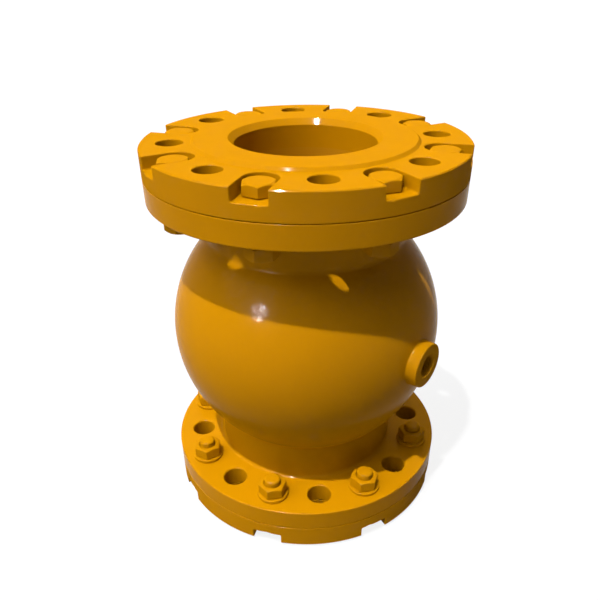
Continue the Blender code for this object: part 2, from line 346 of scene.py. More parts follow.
class NodeSheet:
    """A node tree, with short ways to add nodes and links."""

    def __init__(self, tree: bpy.types.NodeTree) -> None:
        """Keeps the tree."""
        self.tree = tree

    def add(self, kind: str, **settings: object) -> bpy.types.Node:
        """Adds a node.

        Args:
            kind: The node's type.
            settings: Values of its properties.

        Returns:
            The node.
        """
        node = self.tree.nodes.new(kind)
        for name, value in settings.items():
            setattr(node, name, value)
        return node

    def feed(self, socket: bpy.types.NodeSocket, source: object) -> None:
        """Links an output to an input, or sets the input's value.

        Args:
            socket: The input.
            source: An output socket or a plain value.
        """
        if isinstance(source, bpy.types.NodeSocket):
            self.tree.links.new(source, socket)
        else:
            socket.default_value = source

    def compute(self, operation: str, *terms: object) -> bpy.types.NodeSocket:
        """Adds a Math node.

        Args:
            operation: Its operation.
            terms: Output sockets or numbers.

        Returns:
            Its output.
        """
        node = self.add("ShaderNodeMath", operation=operation)
        for socket, term in zip(node.inputs, terms):
            self.feed(socket, term)
        return node.outputs[0]

    def ramp(
        self, value: object, low: object, high: object, first: object, last: object
    ) -> bpy.types.NodeSocket:
        """Adds a Map Range node with a smooth step.

        Args:
            value: What is mapped.
            low: Value at which the step starts.
            high: Value at which it ends.
            first: Result before it.
            last: Result after it.

        Returns:
            Its output.
        """
        node = self.add("ShaderNodeMapRange", interpolation_type="SMOOTHSTEP")
        names = ("Value", "From Min", "From Max", "To Min", "To Max")
        for name, source in zip(names, (value, low, high, first, last)):
            self.feed(node.inputs[name], source)
        return node.outputs["Result"]

    def place(self) -> bpy.types.NodeSocket:
        """Adds the object's own coordinates."""
        return self.add("ShaderNodeTexCoord").outputs["Object"]

    def noise(self, size: object, detail: float = 2.0, roughness: float = 0.5) -> bpy.types.NodeSocket:
        """Adds a Noise texture in the object's own coordinates.

        Args:
            size: Size of its features in millimetres.
            detail: Its detail.
            roughness: Its roughness.

        Returns:
            Its value output.
        """
        node = self.add("ShaderNodeTexNoise")
        self.feed(node.inputs["Vector"], self.place())
        self.feed(node.inputs["Scale"], self.compute("DIVIDE", 1 / MILLIMETRE, size))
        self.feed(node.inputs["Detail"], detail)
        self.feed(node.inputs["Roughness"], roughness)
        return node.outputs[0]

    def mix(self, share: object, first: object, second: object, blend: str = "MIX") -> bpy.types.NodeSocket:
        """Adds a Mix node for colours.

        Args:
            share: Share of the second colour.
            first: The first colour.
            second: The second colour.
            blend: How the second acts on the first.

        Returns:
            Its output.
        """
        node = self.add("ShaderNodeMix", data_type="RGBA", blend_type=blend)
        for number, source in ((MIX_SHARE, share), (MIX_FIRST, first), (MIX_SECOND, second)):
            self.feed(node.inputs[number], source)
        return node.outputs[MIX_RESULT]

    def group(self, tree: bpy.types.NodeTree, values: dict[str, object]) -> bpy.types.NodeOutputs:
        """Places a node group.

        Args:
            tree: The group.
            values: Values of its inputs.

        Returns:
            Its outputs.
        """
        node = self.add("ShaderNodeGroup", node_tree=tree)
        for label, value in values.items():
            self.feed(node.inputs[label], value)
        return node.outputs

    def bump(self, height: object) -> bpy.types.NodeSocket:
        """Adds a Bump node.

        Args:
            height: The relief's height in millimetres.

        Returns:
            Its normal.
        """
        node = self.add("ShaderNodeBump")
        self.feed(node.inputs["Strength"], 1.0)
        self.feed(node.inputs["Distance"], MILLIMETRE)
        self.feed(node.inputs["Height"], height)
        return node.outputs["Normal"]


class GroupSheet(NodeSheet):
    """The inside of a node group with named inputs and outputs."""

    def __init__(self, name: str, inputs: dict[str, object], outputs: dict[str, str]) -> None:
        """Makes the group.

        Args:
            name: The group's name.
            inputs: Names and default values of its inputs; a colour is a tuple.
            outputs: Names and socket types of its outputs.
        """
        super().__init__(bpy.data.node_groups.new(name, "ShaderNodeTree"))
        for label, value in inputs.items():
            kind = "NodeSocketColor" if isinstance(value, tuple) else "NodeSocketFloat"
            self.tree.interface.new_socket(name=label, in_out="INPUT", socket_type=kind).default_value = value
        for label, kind in outputs.items():
            self.tree.interface.new_socket(name=label, in_out="OUTPUT", socket_type=kind)
        self.given = self.add("NodeGroupInput").outputs
        self.results = self.add("NodeGroupOutput").inputs


@cache
def tone_group() -> bpy.types.NodeTree:
    """Group that varies a colour softly over the surface, as thick and thin paint does.

    Returns:
        The group, built once.
    """
    inputs = {"Colour": (0.8, 0.8, 0.8, 1.0), "Strength": 0.1, "Patch Size": 30.0}
    sheet = GroupSheet("paint_tone", inputs, {"Colour": "NodeSocketColor", "Patch": "NodeSocketFloat"})
    broad = sheet.noise(sheet.given["Patch Size"], 3.0, 0.6)
    centred = sheet.compute("SUBTRACT", broad, 0.5)
    level = sheet.compute("MULTIPLY_ADD", centred, sheet.given["Strength"], 1.0)
    shade = sheet.add("ShaderNodeCombineColor")
    for socket in shade.inputs:
        sheet.feed(socket, level)
    toned = sheet.mix(1.0, sheet.given["Colour"], shade.outputs[0], "MULTIPLY")
    sheet.feed(sheet.results["Colour"], toned)
    sheet.feed(sheet.results["Patch"], broad)
    return sheet.tree


@cache
def skin_group() -> bpy.types.NodeTree:
    """Group that gives the height of orange peel, cast grain and broad waves, in millimetres.

    Returns:
        The group, built once.
    """
    inputs = {
        "Peel Size": 3.0,
        "Peel Depth": 0.02,
        "Grain Size": 1.0,
        "Grain Depth": 0.0,
        "Wave Size": 20.0,
        "Wave Depth": 0.0,
    }
    sheet = GroupSheet("paint_skin", inputs, {"Height": "NodeSocketFloat"})
    total: object = 0.0
    for label, detail in (("Peel", 1.0), ("Grain", 3.0), ("Wave", 1.0)):
        noise = sheet.noise(sheet.given[label + " Size"], detail)
        total = sheet.compute("MULTIPLY_ADD", noise, sheet.given[label + " Depth"], total)
    sheet.feed(sheet.results["Height"], total)
    return sheet.tree


@cache
def pit_group() -> bpy.types.NodeTree:
    """Group that gives the depth of scattered pits under the paint, in millimetres.

    The pits are in the few cells whose own random number is low enough.

    Returns:
        The group, built once.
    """
    inputs = {"Spacing": 9.0, "Share": 0.2, "Pit Size": 0.9, "Depth": -0.08}
    sheet = GroupSheet("paint_pits", inputs, {"Height": "NodeSocketFloat"})
    given = sheet.given
    cells = sheet.add("ShaderNodeTexVoronoi")
    sheet.feed(cells.inputs["Vector"], sheet.place())
    sheet.feed(cells.inputs["Scale"], sheet.compute("DIVIDE", 1 / MILLIMETRE, given["Spacing"]))
    parts = sheet.add("ShaderNodeSeparateColor")
    sheet.feed(parts.inputs[0], cells.outputs["Color"])
    chosen = sheet.compute("LESS_THAN", parts.outputs[0], given["Share"])
    reach = sheet.compute("DIVIDE", given["Pit Size"], given["Spacing"])
    near = sheet.ramp(cells.outputs["Distance"], 0.0, reach, 1.0, 0.0)
    depth = sheet.compute("MULTIPLY", sheet.compute("MULTIPLY", near, chosen), given["Depth"])
    sheet.feed(sheet.results["Height"], depth)
    return sheet.tree


def new_material(name: str, gloss: float) -> tuple[bpy.types.Material, NodeSheet, bpy.types.NodeInputs]:
    """Makes a material with its shader.

    Args:
        name: The material's name.
        gloss: The shader's specular level.

    Returns:
        The material, its node tree and the shader's inputs.
    """
    material = bpy.data.materials.new(name)
    material.use_nodes = True
    inputs = material.node_tree.nodes["Principled BSDF"].inputs
    inputs["Specular IOR Level"].default_value = gloss
    return material, NodeSheet(material.node_tree), inputs


@dataclass(frozen=True)
class Enamel:
    """Glossy enamel paint, sprayed over the whole valve after it was put together. Sizes are in millimetres."""

    name: str
    colour: Spot = (0.800, 0.330, 0.0010)
    # Darker, less red colour that diffuse bounce rays see instead of the paint: painted shade in the light
    # bounced between the valve's own surfaces.
    painted_bounce_shade: Spot = (0.44, 0.32, 0.04)
    mottle: float = 0.10
    patch: float = 32.0
    patch_range: Point = (0.3, 0.7)
    roughness: float = 0.22
    gloss_change: float = 0.08
    under_gloss: float = 0.0
    thin_coat: float = 0.012
    thick_coat: float = 0.030
    coat_patch: float = 6.0
    coat_range: Point = (0.54, 0.61)
    coat_ior: float = 2.4
    coat_roughness: float = 0.08
    peel_size: float = 3.2
    peel_depth: float = 0.030
    grain_size: float = 0.9
    grain_depth: float = 0.004
    wave_size: float = 22.0
    wave_depth: float = 0.06
    pit_share: float = 0.10

    def material(self) -> bpy.types.Material:
        """Builds the material.

        Returns:
            The material, with its variation from shared node groups.
        """
        material, sheet, inputs = new_material(self.name, self.under_gloss)
        inputs["Coat IOR"].default_value = self.coat_ior
        inputs["Coat Roughness"].default_value = self.coat_roughness
        values = {"Colour": (*self.colour, 1.0), "Strength": self.mottle, "Patch Size": self.patch}
        tone = sheet.group(tone_group(), values)
        # Diffuse bounce rays see the darker bounce colour, which paints shade into the light bounced into
        # hollows, bores and holes.
        bouncing = sheet.add("ShaderNodeLightPath").outputs["Is Diffuse Ray"]
        sheet.feed(inputs["Base Color"], sheet.mix(bouncing, tone["Colour"], (*self.painted_bounce_shade, 1.0)))
        change = self.gloss_change / 2
        gloss = sheet.ramp(tone["Patch"], *self.patch_range, self.roughness - change, self.roughness + change)
        sheet.feed(inputs["Roughness"], gloss)
        coat = sheet.ramp(sheet.noise(self.coat_patch), *self.coat_range, self.thin_coat, self.thick_coat)
        sheet.feed(inputs["Coat Weight"], coat)
        values = {
            "Peel Size": self.peel_size,
            "Peel Depth": self.peel_depth,
            "Grain Size": self.grain_size,
            "Grain Depth": self.grain_depth,
            "Wave Size": self.wave_size,
            "Wave Depth": self.wave_depth,
        }
        skin = sheet.group(skin_group(), values)["Height"]
        pits = sheet.group(pit_group(), {"Share": self.pit_share})["Height"]
        sheet.feed(inputs["Normal"], sheet.bump(sheet.compute("ADD", skin, pits)))
        return material


@dataclass(frozen=True)
class Rubber:
    """Black moulded rubber, with paint that was sprayed into the mouth of the valve over its first stretch."""

    name: str
    colour: Spot = (0.018, 0.018, 0.019)
    paint: Spot = (0.800, 0.330, 0.0010)
    gloss: float = 0.16
    roughness: float = 0.55
    paint_roughness: float = 0.30
    painted_from_middle: float = 0.098
    bare_from_middle: float = 0.086
    fringe: float = 0.010
    fringe_size: float = 5.0
    fringe_detail: float = 4.0
    mottle: float = 0.5
    patch: float = 12.0
    peel_depth: float = 0.03
    grain_size: float = 0.6
    grain_depth: float = 0.02

    def material(self) -> bpy.types.Material:
        """Builds the material.

        Returns:
            The material, with its colour and gloss changed over by the height in the bore.
        """
        material, sheet, inputs = new_material(self.name, self.gloss)
        axes = sheet.add("ShaderNodeSeparateXYZ")
        sheet.feed(axes.inputs[0], sheet.place())
        height = sheet.compute("ABSOLUTE", sheet.compute("SUBTRACT", axes.outputs["Z"], MIDDLE))
        uneven = sheet.noise(self.fringe_size, self.fringe_detail)
        ragged = sheet.compute("MULTIPLY_ADD", uneven, self.fringe, height)
        overspray = sheet.ramp(ragged, self.bare_from_middle, self.painted_from_middle, 0.0, 1.0)
        values = {"Colour": (*self.colour, 1.0), "Strength": self.mottle, "Patch Size": self.patch}
        tone = sheet.group(tone_group(), values)
        sheet.feed(inputs["Base Color"], sheet.mix(overspray, tone["Colour"], (*self.paint, 1.0)))
        sheet.feed(inputs["Roughness"], sheet.ramp(overspray, 0.0, 1.0, self.roughness, self.paint_roughness))
        values = {"Peel Depth": self.peel_depth, "Grain Size": self.grain_size, "Grain Depth": self.grain_depth}
        sheet.feed(inputs["Normal"], sheet.bump(sheet.group(skin_group(), values)["Height"]))
        return material


def station_angle(index: int, clamp: bool) -> float:
    """Angle of a pipe hole, or of the clamp bolt that follows it.

    Args:
        index: Number of the station, from 0.
        clamp: Whether the clamp bolt is meant.

    Returns:
        The angle in radians.
    """
    return math.tau * (index + (0.5 if clamp else 0.0)) / STATIONS


@dataclass(frozen=True)
class Plates:
    """Sizes that the flange plates of both ends share, with heights from the middle of the valve."""

    rim: float = 0.110
    bore: float = 0.048
    face: float = 0.140
    plate_top: float = 0.138
    joint: float = 0.120
    body_outer: float = 0.1194
    body_inner: float = 0.1037
    pipe_circle: float = 0.090
    pipe_hole: float = 0.009
    clamp_circle: float = 0.0925
    bolt_hole: float = 0.00675
    notch_floor: float = 0.1295
    cutter_reach: float = 0.003
    steps: int = 256
    hole_steps: int = 40

    def hole_cutter(
        self, clamp: bool, low: float, high: float, low_edge: float = 0.0, high_edge: float = 0.0
    ) -> bpy.types.Object:
        """Makes cutters for round holes at every station, flared where the hole's edge is to be rounded.

        Args:
            clamp: Whether they are the clamp bolts' holes.
            low: Height of the plate's lower face.
            high: Height of its upper face.
            low_edge: Rounding at the lower face.
            high_edge: Rounding at the upper face.

        Returns:
            One object with all of them.
        """
        radius, distance = (self.bolt_hole, self.clamp_circle) if clamp else (self.pipe_hole, self.pipe_circle)
        profile: list[Point] = []
        for face, edge, way in ((low, low_edge, -1.0), (high, high_edge, 1.0)):
            flare = radius + round_over(-SKIM, edge) if edge else radius
            outline = [(flare, face + way * self.cutter_reach)]
            if edge:
                depths = [depth_at(edge, turned) for turned in reversed(EDGE_TURNS)]
                outline.append((flare, face + way * SKIM))
                outline += [(radius + round_over(depth, edge), face - way * depth) for depth in depths]
            profile += outline if way < 0 else outline[::-1]
        shape = Shape()
        for index in range(STATIONS):
            turn = Matrix.Rotation(station_angle(index, clamp), 4, "Z")
            shape.turn(profile, self.hole_steps, turn @ Matrix.Translation((distance, 0.0, 0.0)), closed=False)
        return shape.to_object("holes")


@dataclass(frozen=True)
class Notch:
    """Sizes of the notches that sink the clamp bolt heads into an end flange."""

    plates: Plates = Plates()
    half_width: float = 0.0110
    end_centre: float = 0.090
    wall_foot: float = 0.0012
    top_edge: float = 0.0007
    rim_edge: float = 0.0008
    floor_edge: float = 0.0007
    floor_edge_reach: float = 0.0025
    paint_run: float = 0.0011
    run_place: float = 0.6
    run_place_wave: Point = (2.3, 0.8)
    run_spread: float = 0.0022
    run_spread_change: float = 0.0008
    run_spread_wave: float = 1.7
    cutter_reach: float = 0.004
    columns: int = 10
    end_steps: int = 18
    foot_turns: tuple[float, ...] = (0.0, 15.0, 30.0, 45.0, 60.0, 75.0, 90.0)
    rim_turns: tuple[float, ...] = (0.0, 15.0, 30.0, 45.0, 60.0, 70.0, 80.0)

    def floor_rounding(self, across: float, index: int) -> float:
        """Rounding of the floor's outer edge, larger where a run of paint hangs over it.

        Args:
            across: Place across the notch.
            index: Number of the notch.

        Returns:
            The radius there.
        """
        step, start = self.run_place_wave
        middle = self.half_width * self.run_place * math.sin(step * index + start)
        spread = self.run_spread + self.run_spread_change * math.sin(self.run_spread_wave * index)
        return self.floor_edge + self.paint_run * math.exp(-(((across - middle) / spread) ** 2))

    def levels(self) -> list[Point]:
        """Section of the wall.

        Returns:
            Pairs (offset outwards, height over the floor), from the floor to above the plate.
        """
        foot = self.wall_foot
        pairs = [(-depth_at(foot, turned), depth_at(foot, 90 - turned)) for turned in self.foot_turns]
        height = self.plates.plate_top - self.plates.notch_floor
        for turned in EDGE_TURNS:
            depth = depth_at(self.top_edge, turned)
            pairs.append((round_over(depth, self.top_edge), height - depth))
        past = round_over(-SKIM, self.top_edge)
        return pairs + [(past, height + SKIM), (past, height + self.cutter_reach)]

    def inside_rim(self, row: int, across: float, index: int) -> float:
        """Distance inside the rim of one row of points.

        Args:
            row: The row's number, counted outwards.
            across: Place across the notch.
            index: Number of the notch.

        Returns:
            The distance, negative in the row past the rim.
        """
        if row == len(self.rim_turns):
            return -SKIM
        return depth_at(self.floor_rounding(across, index), self.rim_turns[row])

    def fall(self, inside: float, across: float, above: float, index: int) -> float:
        """How far the rounded outer edge of the floor pulls a point down.

        Args:
            inside: The point's distance inside the rim.
            across: Its place across the notch.
            above: Its height over the floor.
            index: Number of the notch.

        Returns:
            The fall.
        """
        share = max(0.0, 1 - above / self.floor_edge_reach)
        return round_over(inside, self.floor_rounding(across, index)) * share

    def side(self, offset: float, above: float, way: float, index: int) -> list[Spot]:
        """Points along one straight side, from the round end outwards.

        Args:
            offset: How far the wall leans out there.
            above: Height over the floor.
            way: 1 for the left side and -1 for the right one.
            index: Number of the notch.

        Returns:
            The points.
        """
        half = self.half_width + offset
        base = self.plates.notch_floor + above
        points = [(self.end_centre, way * half, base)]
        for row in range(len(self.rim_turns) + 1):
            inside = self.inside_rim(row, way * half, index)
            across = way * (half + round_over(inside, self.rim_edge))
            along = math.sqrt((self.plates.rim - inside) ** 2 - across**2)
            points.append((along, across, base - self.fall(inside, across, above, index)))
        return points + [(self.plates.rim + self.cutter_reach, *points[-1][1:])]

    def cutter(self) -> bpy.types.Object:
        """Makes cutters for all the notches.

        Returns:
            One object with all of them.
        """
        shape = Shape()
        for index in range(STATIONS):
            turn = Matrix.Rotation(station_angle(index, True), 4, "Z")
            loops: list[list[int]] = []
            for offset, above in self.levels():
                right = self.side(offset, above, -1.0, index)
                left = self.side(offset, above, 1.0, index)
                end = arc((self.end_centre, 0.0), self.half_width + offset, 270, 90, self.end_steps)[1:-1]
                spots = right[::-1] + [(x, y, self.plates.notch_floor + above) for x, y in end] + left
                loops.append(shape.ring(spots, turn))
            shape.bridge(loops, closed=False)
            shape.cap(loops[-1])
            outer_row = self.close_floor(shape, loops[0], turn, index)
            shape.cap([loop[0] for loop in loops] + [loop[-1] for loop in reversed(loops)] + outer_row[::-1])
        return shape.to_object("notches")

    def close_floor(self, shape: Shape, loop: list[int], turn: Matrix, index: int) -> list[int]:
        """Closes the underside of a notch cutter with rows of points across it.

        Args:
            shape: Where the cutter is.
            loop: The lowest loop of points.
            turn: Matrix that turns the notch to its station.
            index: Number of the notch.

        Returns:
            The outermost row's points between the two sides.
        """
        rows = len(self.rim_turns) + 3
        first_side = loop[:rows][::-1]
        other_side = loop[-rows:]
        half = self.half_width - self.wall_foot
        floor = self.plates.notch_floor
        strips: list[list[int]] = []
        for row in range(rows):
            spots: list[Spot] = []
            for column in range(1, self.columns):
                across = half * (2 * column / self.columns - 1)
                if row == 0:
                    spots.append((self.end_centre, across, floor))
                    continue
                inside = self.inside_rim(min(row - 1, len(self.rim_turns)), across, index)
                along = math.sqrt((self.plates.rim - inside) ** 2 - across**2)
                if row == rows - 1:
                    along = self.plates.rim + self.cutter_reach
                spots.append((along, across, floor - self.fall(inside, across, 0.0, index)))
            strips.append([first_side[row], *shape.ring(spots, turn), other_side[row]])
        shape.bridge(strips, closed=False)
        shape.cap(strips[0] + loop[rows:-rows][::-1])
        return strips[-1][1:-1]


@dataclass(frozen=True)
class EndFlange:
    """One outer plate: raised sealing face, bore, pipe bolt holes and notches for the clamp bolt heads."""

    end: End
    plates: Plates = Plates()
    notch: Notch = Notch()
    mouth_width: float = 0.0037
    mouth_depth: float = 0.0041
    mouth_edge: float = 0.0010
    step_top: float = 0.0743
    step_top_edge: float = 0.0012
    step_foot: float = 0.0763
    step_foot_edge: float = 0.0008
    rim_chamfer: float = 0.0007
    rim_edge: float = 0.0003
    joint_hole_edge: float = 0.0003
    top_hole_edge: float = 0.0008

    def profile(self) -> list[Point]:
        """Section of the plate.

        Returns:
            Points (radius, height), with softened edges and a chamfer at the mouth of the bore.
        """
        plates = self.plates
        return rounded(
            [
                Corner(plates.bore, plates.joint),
                Corner(plates.bore, plates.face - self.mouth_depth, self.mouth_edge),
                Corner(plates.bore + self.mouth_width, plates.face, self.mouth_edge),
                Corner(self.step_top, plates.face, self.step_top_edge),
                Corner(self.step_foot, plates.plate_top, self.step_foot_edge),
                Corner(plates.rim - self.rim_chamfer, plates.plate_top, self.rim_edge),
                Corner(plates.rim, plates.plate_top - self.rim_chamfer, self.rim_edge),
                Corner(plates.rim, plates.joint, self.rim_edge),
            ]
        )

    def build(self, finish: bpy.types.Material) -> None:
        """Builds the plate.

        Args:
            finish: Its paint.
        """
        plates = self.plates
        shape = Shape()
        shape.turn(self.profile(), plates.steps)
        piece = shape.to_object(f"{self.end.value}_end_flange_painted")
        pipe_holes = plates.hole_cutter(
            False, plates.joint, plates.plate_top, self.joint_hole_edge, self.top_hole_edge
        )
        bolt_holes = plates.hole_cutter(True, plates.joint, plates.notch_floor)
        carve(piece, [self.notch.cutter(), pipe_holes, bolt_holes])
        piece.data.transform(self.end.matrix)
        dress(piece, finish, [f"{self.end.value}_end_flange"])


@dataclass(frozen=True)
class Housing:
    """Ball-shaped shell with its two necks and body flanges, welded into one, and the air port boss."""

    plates: Plates = Plates()
    ball: float = 0.102
    wall: float = 0.008
    neck: float = 0.0715
    neck_inner: float = 0.063
    shoulder_fillet: float = 0.006
    weld_fillet: float = 0.0032
    flange_edge: float = 0.0009
    joint_edge: float = 0.0004
    inner_hole_edge: float = 0.0012
    joint_hole_edge: float = 0.0003
    recess: float = 0.0743
    recess_floor: float = 0.1117
    sleeve_hole: float = 0.0563
    port_drill: float = 0.0092
    port_drill_ends: Point = (0.050, 0.120)
    port: float = 0.0076
    port_mouth: float = 0.0013
    port_mouth_depth: float = 0.0012
    port_mouth_start: float = 0.003
    port_mouth_edges: Point = (0.0002, 0.0003)
    thread_root: float = 0.0083
    thread_pitch: float = 0.001337
    thread_turns: int = 10
    thread_flanks: Point = (0.10, 0.40)
    thread_end: float = 0.0016
    boss: float = 0.0165
    boss_face: float = 0.109
    boss_edge: float = 0.0009
    boss_foot_fillet: float = 0.0010
    boss_depth: float = 0.0075
    skirt_width: float = 0.0009
    skirt_depth: float = 0.006
    plug_radius: float = 0.010
    ball_steps: int = 40
    inner_ball_steps: int = 20
    fillet_steps: int = 6
    drill_steps: int = 48
    boss_steps: int = 96

    def shoulder(self, ball: float, neck: float, steps: int) -> list[Corner]:
        """One side of the shell from the equator to the neck.

        Args:
            ball: Radius of the ball.
            neck: Radius of the neck.
            steps: Stretches along the ball.

        Returns:
            Its corners, with a fillet between ball and neck.
        """
        fillet = self.shoulder_fillet
        height = math.sqrt((ball + fillet) ** 2 - (neck + fillet) ** 2)
        meeting = math.degrees(math.atan2(height, neck + fillet))
        curve = arc((0.0, 0.0), ball, 0, meeting, steps)
        curve += arc((neck + fillet, height), fillet, 180 + meeting, 180, self.fillet_steps)[1:]
        return [Corner(*point) for point in curve]

    def profile(self) -> list[Point]:
        """Section of the whole housing.

        Returns:
            Points (radius, height), with softened edges and weld fillets.
        """
        plates = self.plates
        flange = [
            Corner(self.neck, plates.body_inner, self.weld_fillet),
            Corner(plates.rim, plates.body_inner, self.flange_edge),
            Corner(plates.rim, plates.body_outer, self.joint_edge),
            Corner(self.recess, plates.body_outer),
            Corner(self.recess, self.recess_floor),
            Corner(self.sleeve_hole, self.recess_floor),
            Corner(self.sleeve_hole, plates.body_inner),
            Corner(self.neck_inner, plates.body_inner),
        ]
        inner = self.shoulder(self.ball - self.wall, self.neck_inner, self.inner_ball_steps)
        upper = self.shoulder(self.ball, self.neck, self.ball_steps) + flange + inner[::-1]
        lower = [Corner(c.across, -c.height, c.rounding) for c in reversed(upper[1:-1])]
        return rounded(upper + lower)

    def thread(self, start: float) -> list[Point]:
        """Section of the port's thread.

        Args:
            start: Distance of its first point from the valve's axis.

        Returns:
            Points (radius, distance from the valve's axis).
        """
        crest, root = self.thread_flanks
        shares = (crest, root, 1 - root, 1 - crest)
        radii = (self.port, self.thread_root, self.thread_root, self.port)
        points = [
            (radius, start + (index + share) * self.thread_pitch)
            for index in range(self.thread_turns)
            for share, radius in zip(shares, radii)
        ]
        return [(self.port, start)] + [spot for spot in points if spot[1] < self.boss_face - self.thread_end]

    def boss_profile(self) -> list[Point]:
        """Section of the boss, with its length along the port's axis.

        Returns:
            Points (radius, distance from the valve's axis), with a thread in its hole and a fillet at its foot.
        """
        foot_radius = self.boss + self.boss_foot_fillet
        reach = math.sqrt((self.ball + self.boss_foot_fillet) ** 2 - foot_radius**2)
        lean = math.degrees(math.atan2(reach, foot_radius))
        foot_edge, face_edge = self.port_mouth_edges
        outside = rounded(
            [
                Corner(self.port, self.boss_face - self.port_mouth_start),
                Corner(self.port + SKIM, self.boss_face - self.port_mouth_depth, foot_edge),
                Corner(self.port + self.port_mouth, self.boss_face, face_edge),
                Corner(self.boss, self.boss_face, self.boss_edge),
                Corner(self.boss, reach),
            ]
        )[1:-1]
        foot = arc((foot_radius, reach), self.boss_foot_fillet, 180, 180 + lean, self.fillet_steps)
        under = self.ball - 2 * SKIM
        skirt = foot_radius + self.skirt_width
        buried = [
            (skirt, math.sqrt(under**2 - skirt**2)),
            (self.boss, self.ball - self.skirt_depth),
            (self.plug_radius, self.ball - self.boss_depth),
        ]
        return outside + foot + buried + self.thread(self.ball - self.boss_depth)

    def build(self, finish: bpy.types.Material) -> None:
        """Builds the housing.

        Args:
            finish: Its paint.
        """
        plates = self.plates
        shape = Shape()
        shape.turn(self.profile(), plates.steps)
        piece = shape.to_object("housing_painted")
        drill = Shape()
        drill_line = [(self.port_drill, end) for end in self.port_drill_ends]
        drill.turn(drill_line, self.drill_steps, Matrix.Rotation(math.pi / 2, 4, "Y"), closed=False)
        cutters = [drill.to_object("port_drill")]
        for way in (1.0, -1.0):
            faces = [way * plates.body_inner, way * plates.body_outer]
            edges = [self.inner_hole_edge, self.joint_hole_edge]
            if way < 0:
                faces.reverse()
                edges.reverse()
            cutters.append(plates.hole_cutter(False, *faces, *edges))
            cutters.append(plates.hole_cutter(True, *faces))
        carve(piece, cutters)
        piece.data.transform(End.UPPER.matrix)
        nodes = ["upper_half_shell", "lower_half_shell", "upper_body_flange", "lower_body_flange"]
        dress(piece, finish, nodes)

    def build_boss(self, finish: bpy.types.Material) -> None:
        """Builds the air port boss.

        Args:
            finish: Its paint.
        """
        shape = Shape()
        shape.turn(self.boss_profile(), self.boss_steps, Matrix.Rotation(math.pi / 2, 4, "Y"))
        piece = shape.to_object("air_port_boss_painted", End.UPPER.matrix)
        dress(piece, finish, ["air_port_boss"])


